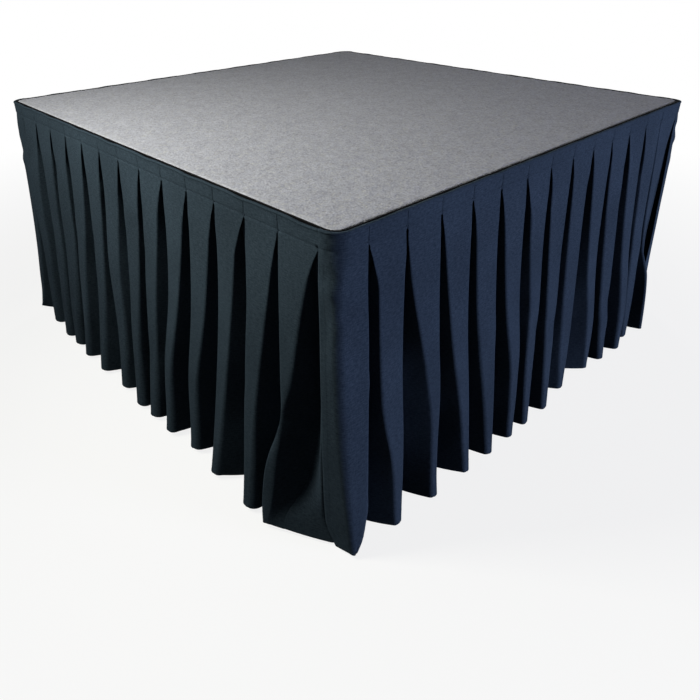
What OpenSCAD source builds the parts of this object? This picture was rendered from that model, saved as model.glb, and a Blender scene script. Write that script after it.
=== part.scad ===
// Folding-leg stage riser platform with a carpeted deck and a box-pleated skirt.
// Origin: floor level, under the middle of the platform. +Z up, front face towards -Y.

/* [Platform] */
// Width of the platform, left to right
platform_w = 1219; // [1190:1:2438]
// Depth of the platform, front to back
platform_d = 1219; // [800:1:1829]
// Height of the walking surface above the floor
platform_h = 610; // [500:1:620]
// Thickness of the carpet
carpet_t = 6; // [3:0.5:10]
// Thickness of the plywood deck
deck_t = 19; // [15:1:25]
// Radius of the platform's corners, seen from above
corner_r = 25; // [20:1:32]

/* [Edge trim] */
// Thickness of the trim's upright face
trim_t = 4; // [3:0.5:6]
// Height of the trim's upright face
trim_h = 52; // [48:1:65]
// Width of the ledge under the deck, from the outer face
ledge_w = 46; // [42:1:60]
// Thickness of the ledge
ledge_t = 3; // [2:0.5:4]
// Width of the ledge on the corner pieces
corner_ledge_w = 16; // [10:1:18]
// Rounding of the trim's top edge
trim_round = 1.2; // [0.5:0.1:1.5]

/* [Underframe] */
// Height of the frame tubes
rail_h = 50; // [40:1:60]
// Width of the frame tubes
rail_w = 25; // [20:1:30]
// Wall of all the steel tubes
tube_wall = 2; // [1.5:0.1:3]
// Outer corner radius of all the steel tubes
tube_r = 3.5; // [3.2:0.1:5]
// Distance between deck screws along an edge, at most
screw_pitch = 400; // [250:10:600]
// From a platform corner to the first deck screw
screw_end = 120; // [110:1:160]

/* [Legs] */
// Width of the square leg tube
leg_w = 32; // [28:1:38]
// From the platform's end to the hinge axis of the legs
hinge_inset = 70; // [62:1:80]
// From the platform's front or back to the leg's centre
leg_inset = 65; // [60:1:90]
// Clearance over the leg's top end as it swings
swing_gap = 2.4; // [2:0.1:6]
// Thickness of the hinge bracket's plates
bracket_t = 4; // [3:0.5:5]
// Radius of a bracket cheek around the hinge axis
cheek_r = 20; // [17:1:24]
// Radius of the hinge bolts
hinge_bolt_r = 6; // [5:0.5:8]
// Width of the square stretcher tube
stretcher_w = 25; // [20:1:30]
// Height of the stretcher's centre above the floor
stretcher_z = 130; // [90:1:150]

/* [Braces] */
// From the hinge axis to the ear pivot, also the length of a brace
brace_l = 150; // [140:1:155]
// Slope of the brace with the legs open, in degrees
brace_slope = 70; // [68:0.5:74]
// Width of the brace bar
brace_w = 25; // [22:1:30]
// Thickness of the brace bar
brace_t = 5; // [4:0.5:6]
// Thickness of the ear plate on the leg
ear_t = 5; // [4:0.5:6]
// Thickness of the slotted track
track_t = 4; // [3:0.5:5]
// Width of the track's screw flange
track_flange_w = 30; // [25:1:40]
// Radius of the brace pins and of the lock stud
pin_r = 5; // [4:0.5:6]
// Radius of the lock knob, over its lobes
knob_r = 22; // [18:1:26]
// Height of the lock knob
knob_h = 24; // [20:1:30]

/* [Feet] */
// Radius of the foot pad
pad_r = 22; // [18:1:26]
// Height of the foot pad
pad_h = 16; // [12:1:20]
// Radius of the levelling stem
stem_r = 5; // [4:0.5:6]
// Length of the stem above the pad
stem_l = 55; // [50:1:70]
// Depth of the plug inside the leg
plug_l = 28; // [20:1:40]
// Thickness of the plug's collar
plug_collar_t = 4; // [3:0.5:6]

/* [Skirt] */
// Height of the flat header band
header_h = 38; // [32:1:45]
// Thickness of the header band
header_t = 3; // [2:0.5:4]
// Thickness of the loop tape on the trim
tape_t = 1.5; // [1:0.1:2.5]
// From the walking surface down to the header's top edge
header_drop = 4; // [3:0.5:8]
// Width of one box pleat, rounded so that whole pleats fill a side
pleat_pitch = 87; // [70:1:120]
// How far each section wraps round its first corner
corner_wrap = 36; // [34:1:45]
// Thickness of the hanging cloth
cloth_t = 2.5; // [2:0.1:3.5]
// How far the pleats stand out at the hem
hem_flare = 48; // [40:1:60]
// Depth of the pleats at the hem
hem_depth = 44; // [30:1:48]
// Clearance between the hem and the floor
hem_gap = 8; // [4:1:20]

/* [Fits] */
// Gap between parts that slide or turn on each other
slide_gap = 0.5; // [0.3:0.1:0.8]
// Radial clearance of a pin in its hole
pin_gap = 0.08; // [0.05:0.01:0.1]
// Gap between parts that are set in place
seat_gap = 0.2; // [0.1:0.05:0.4]

/* [Hidden] */
$fn = 64;
LEFT = -1;
RIGHT = 1;
FRONT = -1;
BACK = 1;

// Levels, from the walking surface down
z_deck_top = platform_h - carpet_t;
z_ledge = z_deck_top - deck_t;
z_frame = z_ledge - ledge_t;
z_bearer = z_ledge - rail_h;
hinge_drop = bracket_t + leg_w / sqrt(2) + swing_gap;
z_hinge = z_bearer - hinge_drop;
z_leg_end = pad_h + slide_gap + plug_collar_t;
z_header = platform_h - header_drop - header_h;

// Places of the rails, legs and mechanism, from the platform's middle
rail_inset = trim_t + seat_gap;
rail_x = platform_w / 2 - rail_inset - rail_w / 2;
rail_y = platform_d / 2 - rail_inset - rail_w / 2;
frame_y = rail_y - rail_w / 2;
hinge_x = platform_w / 2 - hinge_inset;
leg_y = platform_d / 2 - leg_inset;
leg_side = leg_w / 2;
cheek_y = leg_side + slide_gap;

// Brace linkage in the leg's frame: the ear pivot and the stud form an isosceles
// triangle with the hinge axis, so the stud runs along a straight slot as the legs fold,
// furthest out when hinge, pivot and stud lie in line
ear_x = brace_l * cos(brace_slope);
ear_z = -brace_l * sin(brace_slope);
stud_open = 2 * brace_l * cos(brace_slope);
stud_far = 2 * brace_l;
brace_y = leg_side + slide_gap;
track_y = brace_y + brace_t + slide_gap;
knob_y = track_y + track_t + slide_gap;
slot_r = pin_r + pin_gap;
track_end = 18;
track_edge = 16;
window_r = 8;
knob_bore_l = knob_h - 8;

// Fasteners
screw_r = 2;
screw_head_r = 4.5;
screw_head_t = 3;
screw_grip = 12;
hex_share = 1.75;
hex_t = 8;

// Skirt path: round the first corner, then along the side to the next section
wrap_l = corner_wrap - corner_r;
turn_l = corner_r * PI / 2;
header_in = tape_t + seat_gap;
header_out = header_in + header_t;
slit_top = 1.2;
slit_hem = 0.25;
seam_depth = 1;
recess_share = 0.4;
fold_soft = 0.07;
hem_swell = 4;
// Heights of the cloth's rings, as shares of the drop from header to hem
cloth_rings = [0, 0.3, 0.65, 1];

// Length of side 0 front, 1 right, 2 back or 3 left
function side_l(i) = i % 2 == 0 ? platform_w : platform_d;

// Screw places along a side of length l: an even number, so none meets the joist
function screw_places(l) =
    let (span = l - 2 * screw_end, gaps = 2 * ceil(span / screw_pitch / 2 - 0.5) + 1)
    [for (k = [0 : gaps]) screw_end + span * k / gaps];

// Deck screws run up through the ledge, between the rail and the ledge's inner edge
function screw_inset() = (rail_inset + rail_w + ledge_w) / 2;

// Puts a shape at a side's first corner, with the side along +X and outward -Y
module on_side(i) {
    corner_x = i == 0 || i == 3 ? -platform_w / 2 : platform_w / 2;
    corner_y = i < 2 ? -platform_d / 2 : platform_d / 2;
    translate([corner_x, corner_y, 0]) rotate(90 * i) children();
}

// Puts a shape at a leg's hinge, with +X inward along the platform and +Y inward across it
module at_leg(end, side) {
    translate([end * hinge_x, side * leg_y, z_hinge])
        mirror([end == RIGHT ? 1 : 0, 0, 0])
            mirror([0, side == BACK ? 1 : 0, 0])
                children();
}

// Extrudes a section drawn in Y and Z along +X
module along_x(l) {
    rotate([90, 0, 90]) linear_extrude(l) children();
}

// Extrudes an outline drawn in X and Z along +Y
module along_y(l) {
    translate([0, l, 0]) rotate([90, 0, 0]) linear_extrude(l) children();
}

// Rectangle with true round corners
module round_rect(w, h, r) {
    square([w - 2 * r, h], center = true);
    square([w, h - 2 * r], center = true);
    for (x = [-1, 1], y = [-1, 1])
        translate([x * (w / 2 - r), y * (h / 2 - r)]) circle(r);
}

// Section of a steel tube
module tube_section(w, h) {
    difference() {
        round_rect(w, h, tube_r);
        round_rect(w - 2 * tube_wall, h - 2 * tube_wall, tube_r - tube_wall);
    }
}

// Slab that follows the platform's outline, set in from its outer faces
module deck_slab(inset, t) {
    linear_extrude(t)
        round_rect(platform_w - 2 * inset, platform_d - 2 * inset, corner_r - inset);
}

// Section of the trim's upright face, with a rounded top
module trim_face() {
    top = platform_h - trim_round;
    translate([0, platform_h - trim_h]) square([trim_t, trim_h - trim_round]);
    translate([trim_round, top]) square([trim_t - 2 * trim_round, trim_round]);
    for (y = [trim_round, trim_t - trim_round]) translate([y, top]) circle(trim_round);
}

// Section of the ledge that carries the deck
module trim_ledge(w) {
    translate([0, z_frame]) square([w, ledge_t]);
}

module carpet() {
    color("silver") translate([0, 0, z_deck_top]) deck_slab(trim_t + seat_gap, carpet_t);
}

module deck_panel() {
    color("burlywood") translate([0, 0, z_ledge]) deck_slab(trim_t + seat_gap, deck_t);
}

// Straight length of edge trim: its ledge stops short of the next side's ledge, and is
// drilled for the deck screws
module edge_trim(i) {
    l = side_l(i);
    ledge_end = ledge_w + seat_gap;
    color("#1a1a1c") on_side(i) difference() {
        union() {
            translate([corner_r, 0, 0]) along_x(l - 2 * corner_r) trim_face();
            translate([ledge_end, 0, 0]) along_x(l - 2 * ledge_end) trim_ledge(ledge_w);
        }
        for (x = screw_places(l)) translate([x, screw_inset(), z_frame - 1])
            cylinder(r = screw_r + pin_gap, h = ledge_t + 2);
    }
}

// Moulded corner pieces that close the trim, one at each corner
module trim_corners() {
    color("#1a1a1c") for (i = [0 : 3]) on_side(i)
        translate([corner_r, corner_r, 0])
            rotate(180) rotate_extrude(angle = 90)
                translate([corner_r, 0]) mirror([1, 0]) {
                    trim_face();
                    trim_ledge(corner_ledge_w);
                }
}

// Band that follows a section's path, from one offset off the side's face to another
module path_band(l, inner, outer, h) {
    t = outer - inner;
    linear_extrude(h) {
        translate([-outer, corner_r]) square([t, wrap_l]);
        translate([corner_r, -outer]) square([l - corner_r - corner_wrap - seat_gap, t]);
        intersection() {
            translate([corner_r, corner_r]) difference() {
                circle(corner_r + outer);
                circle(corner_r + inner);
            }
            translate([-outer, -outer]) square(corner_r + outer);
        }
    }
}

// Loop tape stuck on the trim, one strip behind each header
module loop_tape() {
    color("#26262a") for (i = [0 : 3]) on_side(i)
        translate([0, 0, z_header]) path_band(side_l(i), 0, tape_t, header_h);
}

// Header band, with the hook tape on its back
module skirt_header(i) {
    color("#232a38") on_side(i)
        translate([0, 0, z_header]) path_band(side_l(i), header_in, header_out, header_h);
}

// Point of a section's path at length u, standing n off the side's face
function path_point(u, n) =
    u < wrap_l ? [-n, corner_wrap - u] :
    u < wrap_l + turn_l ?
        let (a = 180 + 90 * (u - wrap_l) / turn_l, r = corner_r + n)
        [corner_r + r * cos(a), corner_r + r * sin(a)] :
    [corner_r + u - wrap_l - turn_l, -n];

function path_l(l) = wrap_l + turn_l + l - corner_r - corner_wrap;
function pleat_count(l) = round(path_l(l) / pleat_pitch);

// One box pleat at share t of the drop: [length along the path, offset] of its folds,
// from the recess on its left, over the front panel in steps, to the recess on its right
function pleat_fold(p, t, steps) =
    let (slit = slit_top + (slit_hem * p - slit_top) * t,
         front = header_out + hem_flare * pow(t, 1.3),
         back = front - seam_depth - (hem_depth - seam_depth) * t,
         soft = fold_soft * p,
         panel = p - 2 * slit - 2 * soft,
         rim = front - soft * t)
    [[recess_share * slit, back], [slit, rim],
     for (j = [0 : steps]) let (s = j / steps)
        [slit + soft + s * panel, front + hem_swell * t * 4 * s * (1 - s)],
     [p - slit, rim], [p - recess_share * slit, back]];

// The first pleat goes round the corner, so its panel has more steps
function panel_steps(k) = k == 0 ? 8 : 2;

// Hanging cloth of one section: rings of folds from the header down to the hem
module skirt_cloth(l) {
    count = pleat_count(l);
    pitch = path_l(l) / count;
    drop = z_header - hem_gap;
    rings = len(cloth_rings);
    folds = [for (t = cloth_rings)
        [for (k = [0 : count - 1], f = pleat_fold(pitch, t, panel_steps(k)))
            [k * pitch + f[0], f[1], z_header - drop * t]]];
    row = len(folds[0]);
    function cloth_point(f, back) =
        let (q = path_point(f[0], f[1] - back)) [q[0], q[1], f[2]];
    points = [for (back = [0, cloth_t], r = folds, f = r) cloth_point(f, back)];
    face = rings * row;
    // Corners a, b, c, d of a four-sided patch, as two triangles
    function patch(a, b, c, d) = [[a, b, c], [a, c, d]];
    function at(r, k) = r * row + k;
    walls = [for (r = [0 : rings - 2], k = [0 : row - 2])
        each concat(
            patch(at(r, k), at(r, k + 1), at(r + 1, k + 1), at(r + 1, k)),
            patch(face + at(r, k), face + at(r + 1, k), face + at(r + 1, k + 1),
                face + at(r, k + 1)))];
    rims = [for (k = [0 : row - 2])
        each concat(
            patch(at(0, k), face + at(0, k), face + at(0, k + 1), at(0, k + 1)),
            patch(at(rings - 1, k), at(rings - 1, k + 1), face + at(rings - 1, k + 1),
                face + at(rings - 1, k)))];
    ends = [for (r = [0 : rings - 2])
        each concat(
            patch(at(r, 0), at(r + 1, 0), face + at(r + 1, 0), face + at(r, 0)),
            patch(at(r, row - 1), face + at(r, row - 1), face + at(r + 1, row - 1),
                at(r + 1, row - 1)))];
    polyhedron(points, concat(walls, rims, ends), convexity = 10);
}

module skirt(i) {
    color("#1d2638") on_side(i) skirt_cloth(side_l(i));
}

// Frame tubes
module x_tube(l, z, y) {
    color("#202022") translate([-l / 2, y, z]) along_x(l) tube_section(rail_w, rail_h);
}

module y_tube(l, z, x) {
    color("#202022") translate([x, -l / 2, z]) along_y(l) tube_section(rail_w, rail_h);
}

// Front and back rails, with their ends cut to clear the rounded corners
module long_rail(side) {
    intersection() {
        x_tube(2 * (rail_x + rail_w / 2), z_frame - rail_h / 2, side * rail_y);
        translate([0, 0, z_frame - rail_h]) deck_slab(rail_inset, rail_h);
    }
}

module end_rail(end) {
    y_tube(2 * frame_y, z_frame - rail_h / 2, end * rail_x);
}

// Bearers and joist stand higher than the rails and carry the deck's middle, with their
// ends notched for the ledges
module cross_bearer(x) {
    notch_y = platform_d / 2 - ledge_w - seat_gap;
    difference() {
        y_tube(2 * frame_y, z_ledge - rail_h / 2, x);
        for (side = [FRONT, BACK])
            translate([x, side * (notch_y + ledge_w / 2), z_ledge])
                cube([rail_w + 2, ledge_w, 2 * (ledge_t + seat_gap)], center = true);
    }
}

// Pan-head wood screw, with the underside of its head at the origin
module wood_screw(l) {
    cylinder(r = screw_r, h = l);
    translate([0, 0, -screw_head_t])
        cylinder(r1 = screw_head_r - 1, r2 = screw_head_r, h = screw_head_t);
}

module deck_screws() {
    color("silver") for (i = [0 : 3]) on_side(i) for (x = screw_places(side_l(i)))
        translate([x, screw_inset(), z_frame]) wood_screw(ledge_t + screw_grip);
}

// Hinge bracket: a base under the bearer and two cheeks beside the leg
module hinge_bracket() {
    cheek_out = cheek_y + bracket_t;
    translate([-cheek_r, -cheek_out, hinge_drop - bracket_t])
        cube([2 * cheek_r, 2 * cheek_out, bracket_t]);
    for (y = [-cheek_out, cheek_y]) translate([0, y, 0]) difference() {
        along_y(bracket_t) {
            circle(cheek_r);
            translate([-cheek_r, 0]) square([2 * cheek_r, hinge_drop - bracket_t]);
        }
        translate([0, -1, 0]) along_y(bracket_t + 2) circle(hinge_bolt_r + pin_gap);
    }
}

module hinge_brackets(end) {
    color("dimgray") for (side = [FRONT, BACK]) at_leg(end, side) hinge_bracket();
}

// Hinge bolt with its hex head outside and its nut on the inner cheek
module hinge_bolt() {
    cheek_out = cheek_y + bracket_t;
    hex_r = hex_share * hinge_bolt_r;
    translate([0, -cheek_out - hex_t, 0]) along_y(hex_t) circle(hex_r, $fn = 6);
    translate([0, -cheek_out, 0]) along_y(2 * cheek_out + hex_t + 3) circle(hinge_bolt_r);
    translate([0, cheek_out, 0]) along_y(hex_t) difference() {
        circle(hex_r, $fn = 6);
        circle(hinge_bolt_r + pin_gap / 2);
    }
}

module hinge_bolts() {
    color("silver") for (end = [LEFT, RIGHT], side = [FRONT, BACK])
        at_leg(end, side) hinge_bolt();
}

// Slotted track: an angle under the deck, with two windows above the slot
module brace_track() {
    l = stud_far - stud_open + 2 * track_end;
    x0 = stud_open - track_end;
    top = z_ledge - z_hinge;
    window_h = top - track_edge - 2 * track_t - window_r;
    window_w = (l - 5 * track_end) / 2;
    difference() {
        union() {
            translate([x0, track_y, 0]) along_y(track_t)
                translate([0, -track_edge]) square([l, top + track_edge]);
            translate([x0, track_y, top - track_t])
                cube([l, track_flange_w, track_t]);
        }
        translate([0, track_y - 1, 0]) along_y(track_t + 2) {
            translate([stud_open, -slot_r]) square([stud_far - stud_open, 2 * slot_r]);
            for (x = [stud_open, stud_far]) translate([x, 0]) circle(slot_r);
            for (k = [-1, 1])
                translate([x0 + l / 2 + k * (window_w + track_end) / 2, track_edge + window_h / 2])
                    round_rect(window_w, window_h, window_r);
        }
        for (x = track_screw_places()) translate([x, track_screw_y(), top - track_t - 1])
            cylinder(r = screw_r + pin_gap, h = track_t + 2);
    }
}

function track_screw_places() =
    [stud_open, (stud_open + stud_far) / 2, stud_far];
function track_screw_y() = track_y + (track_t + track_flange_w) / 2;

module brace_tracks(end) {
    color("dimgray") for (side = [FRONT, BACK]) at_leg(end, side) brace_track();
}

module track_screws() {
    color("silver") for (end = [LEFT, RIGHT], side = [FRONT, BACK]) at_leg(end, side)
        for (x = track_screw_places())
            translate([x, track_screw_y(), z_ledge - z_hinge - track_t])
                wood_screw(track_t + screw_grip);
}

// Leg tube, with a bore for its hinge bolt
module leg() {
    l = z_hinge + leg_side - z_leg_end;
    difference() {
        translate([0, 0, leg_side - l]) linear_extrude(l) tube_section(leg_w, leg_w);
        translate([0, -leg_w, 0]) along_y(2 * leg_w) circle(hinge_bolt_r + pin_gap);
    }
}

module leg_tube(end, side) {
    color("#202022") at_leg(end, side) leg();
}

// Stretcher welded between the two legs of an end
module stretcher(end) {
    l = 2 * (leg_y - leg_side);
    color("#202022") translate([end * hinge_x, -l / 2, stretcher_z])
        along_y(l) tube_section(stretcher_w, stretcher_w);
}

// Gusset ear welded on the leg, with the brace pivot at its nose
module brace_ear() {
    nose = brace_w / 2;
    translate([0, leg_side - ear_t, 0]) difference() {
        along_y(ear_t) {
            translate([ear_x, ear_z]) circle(nose);
            polygon([[leg_side, ear_z + 5 * nose], [ear_x + nose * cos(30), ear_z + nose / 2],
                [ear_x, ear_z - nose], [leg_side, ear_z - 2 * nose]]);
        }
        translate([ear_x, -1, ear_z]) along_y(ear_t + 2) circle(pin_r + pin_gap);
    }
}

module brace_ears(end) {
    color("dimgray") for (side = [FRONT, BACK]) at_leg(end, side) brace_ear();
}

// Plastic plug in the leg's foot, bored for the levelling stem
module leg_plug() {
    body = leg_w - 2 * tube_wall - 2 * seat_gap;
    difference() {
        union() {
            translate([0, 0, z_leg_end - z_hinge]) linear_extrude(plug_l)
                round_rect(body, body, tube_r - tube_wall);
            translate([0, 0, z_leg_end - plug_collar_t - z_hinge])
                linear_extrude(plug_collar_t) round_rect(leg_w, leg_w, tube_r);
        }
        translate([0, 0, -z_hinge]) cylinder(r = stem_r + pin_gap, h = z_leg_end + plug_l + 1);
    }
}

module leg_plugs(end) {
    color("#18181a") for (side = [FRONT, BACK]) at_leg(end, side) leg_plug();
}

// Puts a shape drawn along +X from the ear pivot onto the open brace
module on_brace() {
    translate([ear_x, 0, ear_z]) rotate([0, -brace_slope, 0]) children();
}

// Brace bar with round ends and a hole at each
module brace() {
    on_brace() translate([0, brace_y, 0]) along_y(brace_t) difference() {
        union() {
            translate([0, -brace_w / 2]) square([brace_l, brace_w]);
            for (x = [0, brace_l]) translate([x, 0]) circle(brace_w / 2);
        }
        for (x = [0, brace_l]) translate([x, 0]) circle(pin_r + pin_gap / 2);
    }
}

module braces(end) {
    color("silver") for (side = [FRONT, BACK]) at_leg(end, side) brace();
}

// Headed pivot pin at the ear, and the lock stud that runs in the track's slot
module brace_pin_set() {
    on_brace() {
        translate([0, leg_side - ear_t - 3 - slide_gap, 0]) along_y(3) circle(1.7 * pin_r);
        translate([0, leg_side - ear_t - slide_gap, 0])
            along_y(ear_t + slide_gap + brace_y + brace_t - leg_side) circle(pin_r);
        translate([brace_l, brace_y, 0])
            along_y(knob_y + knob_bore_l - slide_gap - brace_y) circle(pin_r);
    }
}

module brace_pins(end) {
    color("silver") for (side = [FRONT, BACK]) at_leg(end, side) brace_pin_set();
}

// Lobed lock knob on the stud, with a blind bore in its hub
module lock_knob(end, side) {
    lobes = 5;
    lobe_r = 0.34 * knob_r;
    hub_r = 0.72 * knob_r;
    collar_h = knob_h / 3;
    color("#18181a") at_leg(end, side) translate([stud_open, knob_y, 0]) difference() {
        union() {
            along_y(knob_h) circle(0.5 * knob_r);
            translate([0, collar_h, 0]) along_y(knob_h - collar_h) {
                circle(hub_r);
                for (k = [0 : lobes - 1]) rotate(360 * k / lobes)
                    translate([knob_r - lobe_r, 0]) circle(lobe_r);
            }
        }
        translate([0, -1, 0]) along_y(knob_bore_l + 1) circle(pin_r + pin_gap);
    }
}

// Levelling stem, screwed up into the leg's plug
module foot_stem(end, side) {
    color("silver") at_leg(end, side)
        translate([0, 0, pad_h - z_hinge]) cylinder(r = stem_r, h = stem_l);
}

// Foot pad: a bevelled disc with a boss under the plug's collar
module foot_pad(end, side) {
    color("#18181a") at_leg(end, side) translate([0, 0, -z_hinge]) rotate_extrude()
        polygon([[0, 0], [pad_r - 3, 0], [pad_r, 3], [pad_r, 6], [pad_r - 6, 10],
            [0.55 * pad_r, pad_h], [0, pad_h]]);
}

carpet();
deck_panel();
edge_trim(0);  // front_edge_trim
edge_trim(1);  // right_edge_trim
edge_trim(2);  // back_edge_trim
edge_trim(3);  // left_edge_trim
trim_corners();
loop_tape();
long_rail(FRONT);  // front_rail
long_rail(BACK);  // back_rail
end_rail(LEFT);  // left_rail
end_rail(RIGHT);  // right_rail
cross_bearer(LEFT * hinge_x);  // left_bearer
cross_bearer(RIGHT * hinge_x);  // right_bearer
cross_bearer(0);  // centre_joist
deck_screws();
hinge_brackets(LEFT);  // left_hinge_brackets
hinge_brackets(RIGHT);  // right_hinge_brackets
hinge_bolts();
brace_tracks(LEFT);  // left_brace_tracks
brace_tracks(RIGHT);  // right_brace_tracks
track_screws();
skirt_header(0);  // front_header
skirt_header(1);  // right_header
skirt_header(2);  // back_header
skirt_header(3);  // left_header
skirt(0);  // front_skirt
skirt(1);  // right_skirt
skirt(2);  // back_skirt
skirt(3);  // left_skirt
leg_tube(LEFT, FRONT);  // left_front_leg
leg_tube(LEFT, BACK);  // left_back_leg
stretcher(LEFT);  // left_stretcher
brace_ears(LEFT);  // left_brace_ears
leg_plugs(LEFT);  // left_leg_plugs
leg_tube(RIGHT, FRONT);  // right_front_leg
leg_tube(RIGHT, BACK);  // right_back_leg
stretcher(RIGHT);  // right_stretcher
brace_ears(RIGHT);  // right_brace_ears
leg_plugs(RIGHT);  // right_leg_plugs
braces(LEFT);  // left_braces
brace_pins(LEFT);  // left_brace_pins
braces(RIGHT);  // right_braces
brace_pins(RIGHT);  // right_brace_pins
lock_knob(LEFT, FRONT);  // left_front_knob
lock_knob(LEFT, BACK);  // left_back_knob
lock_knob(RIGHT, FRONT);  // right_front_knob
lock_knob(RIGHT, BACK);  // right_back_knob
foot_stem(LEFT, FRONT);  // left_front_stem
foot_stem(LEFT, BACK);  // left_back_stem
foot_stem(RIGHT, FRONT);  // right_front_stem
foot_stem(RIGHT, BACK);  // right_back_stem
foot_pad(LEFT, FRONT);  // left_front_pad
foot_pad(LEFT, BACK);  // left_back_pad
foot_pad(RIGHT, FRONT);  // right_front_pad
foot_pad(RIGHT, BACK);  // right_back_pad
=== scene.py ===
# Looks of the stage riser platform: carpet, box-pleated skirt, underframe, stage and camera.
import math

import bpy
import numpy as np
from mathutils import Matrix, Vector


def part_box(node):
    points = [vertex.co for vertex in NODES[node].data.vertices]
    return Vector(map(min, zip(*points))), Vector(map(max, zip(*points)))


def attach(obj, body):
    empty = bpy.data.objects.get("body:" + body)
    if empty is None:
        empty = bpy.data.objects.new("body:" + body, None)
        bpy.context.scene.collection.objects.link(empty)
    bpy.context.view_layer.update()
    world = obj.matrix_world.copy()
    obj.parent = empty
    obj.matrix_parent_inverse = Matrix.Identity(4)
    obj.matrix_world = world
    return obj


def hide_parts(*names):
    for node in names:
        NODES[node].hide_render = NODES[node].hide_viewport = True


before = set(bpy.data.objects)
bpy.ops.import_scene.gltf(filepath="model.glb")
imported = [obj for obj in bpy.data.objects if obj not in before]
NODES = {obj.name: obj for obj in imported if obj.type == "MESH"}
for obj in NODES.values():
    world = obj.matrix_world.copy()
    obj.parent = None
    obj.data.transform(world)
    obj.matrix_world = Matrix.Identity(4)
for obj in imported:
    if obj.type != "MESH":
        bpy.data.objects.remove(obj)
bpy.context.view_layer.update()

# Sizes of the platform and its skirt, in metres
SIDE = 1.219
CORNER_R = 0.025
CORNER_WRAP = 0.036
HEADER_TOP = 0.6082
HEADER_BOTTOM = 0.577
PLEATS = 14
WRAP_L = CORNER_WRAP - CORNER_R
TURN_L = CORNER_R * math.pi / 2
STRAIGHT_L = SIDE - 2 * CORNER_R
PATH_L = WRAP_L + TURN_L + SIDE - CORNER_R - CORNER_WRAP
PITCH = PATH_L / PLEATS
SECTIONS = ("front", "right", "back", "left")

# Camera's place, and in degrees its heading from +Y towards +X, its tilt below the horizon and its roll
CAMERA_PLACE = (-1.1691, -1.1946, 0.9630)
CAMERA_HEADING = 43.2786
CAMERA_TILT = 28.6003
CAMERA_ROLL = -0.38

WHITE = (1, 1, 1, 1)
DIM_SKY = (0.032, 0.033, 0.036, 1)
FLOOR_REACH = 30.0


def srgb(red, green, blue):
    """Linear colour of an 8-bit screen colour."""
    parts = [c / 255 for c in (red, green, blue)]
    linear = [c / 12.92 if c <= 0.04045 else ((c + 0.055) / 1.055) ** 2.4 for c in parts]
    return (*linear, 1.0)


def add_object(name, data):
    made = bpy.data.objects.new(name, data)
    bpy.context.scene.collection.objects.link(made)
    return made


# Camera and stage


def place_camera():
    """Camera at the photograph's viewing angle, far enough back to hold the whole platform."""
    data = bpy.data.cameras.new("camera")
    data.sensor_width = 36.0
    data.lens = 32.62
    data.shift_x = 0.0262
    data.shift_y = -0.0857
    data.clip_start = 0.02
    data.clip_end = 60.0
    camera = add_object("camera", data)
    heading = Matrix.Rotation(-math.radians(CAMERA_HEADING), 4, "Z")
    tilt = Matrix.Rotation(math.radians(90 - CAMERA_TILT), 4, "X")
    roll = Matrix.Rotation(math.radians(CAMERA_ROLL), 4, "Z")
    camera.matrix_world = Matrix.Translation(CAMERA_PLACE) @ heading @ tilt @ roll
    bpy.context.scene.camera = camera


def soft_light(name, place, aim, size, power, colour):
    """Square area light that faces a point."""
    data = bpy.data.lights.new(name, "AREA")
    data.shape = "SQUARE"
    data.size = size
    data.energy = power
    data.color = colour
    lamp = add_object(name, data)
    lamp.location = place
    lamp.rotation_euler = (Vector(aim) - Vector(place)).to_track_quat("-Z", "Y").to_euler()


def seen_directly(tree):
    """1 for rays that show the backdrop: from the camera, in gloss or through glass."""
    rays = place_node(tree, "LightPath").outputs
    first = math_node(tree, "MAXIMUM", rays["Is Camera Ray"], rays["Is Glossy Ray"])
    return math_node(tree, "MAXIMUM", first, rays["Is Transmission Ray"])


def set_stage():
    """White backdrop over a dim sky, a pale floor, and a soft lamp for each seen side and the back."""
    world = bpy.data.worlds.new("studio")
    world.use_nodes = True
    tree = world.node_tree
    wire(tree, tree.nodes["Background"].inputs, Color=mix_colour(tree, seen_directly(tree), DIM_SKY, WHITE))
    bpy.context.scene.world = world
    soft_light("left_lamp", place=(-1.40, 0.25, 1.32), aim=(-0.60, -0.21, 1.38), size=0.4, power=35,
               colour=(1.0, 1.0, 0.83))
    soft_light("right_lamp", place=(1.7, -4.7, 0.80), aim=(0.0, -0.3, 0.30), size=1.1, power=228,
               colour=(0.68, 0.73, 1.0))
    soft_light("back_lamp", place=(3.3, 3.0, 0.50), aim=(0.2, 0.2, 0.30), size=0.8, power=130,
               colour=(1.0, 0.98, 0.95))
    lay_floor()


def lay_floor():
    """Floor that keeps the shadow near the platform and turns into the white backdrop farther off."""
    mesh = bpy.data.meshes.new("floor")
    corners = [(x * FLOOR_REACH, y * FLOOR_REACH, 0) for x, y in ((-1, -1), (1, -1), (1, 1), (-1, 1))]
    mesh.from_pydata(corners, [], [(0, 1, 2, 3)])
    floor = add_object("floor", mesh)
    paint, tree, _ = new_finish("floor_paint")
    tree.nodes.clear()
    seen = seen_directly(tree)
    tone = mix_colour(tree, seen, (0.08, 0.08, 0.08, 1), (0.9, 0.9, 0.9, 1))
    matt = place_node(tree, "BsdfDiffuse", Color=tone).outputs[0]
    glow = place_node(tree, "Emission", Color=WHITE, Strength=1.0).outputs[0]
    away = place_node(tree, "VectorMath", {"operation": "LENGTH"}, object_place(tree)).outputs["Value"]
    share = times(tree, seen, span(tree, away, 1.0, 2.4, 0.84, 1.0))
    blend = place_node(tree, "MixShader", None, share, matt, glow)
    place_node(tree, "OutputMaterial", Surface=blend.outputs[0])
    mesh.materials.append(paint)


# Shader helpers


def join(tree, value, socket):
    """Links a socket that is given, or sets a value."""
    if isinstance(value, bpy.types.NodeSocket):
        tree.links.new(value, socket)
    else:
        socket.default_value = value


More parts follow.
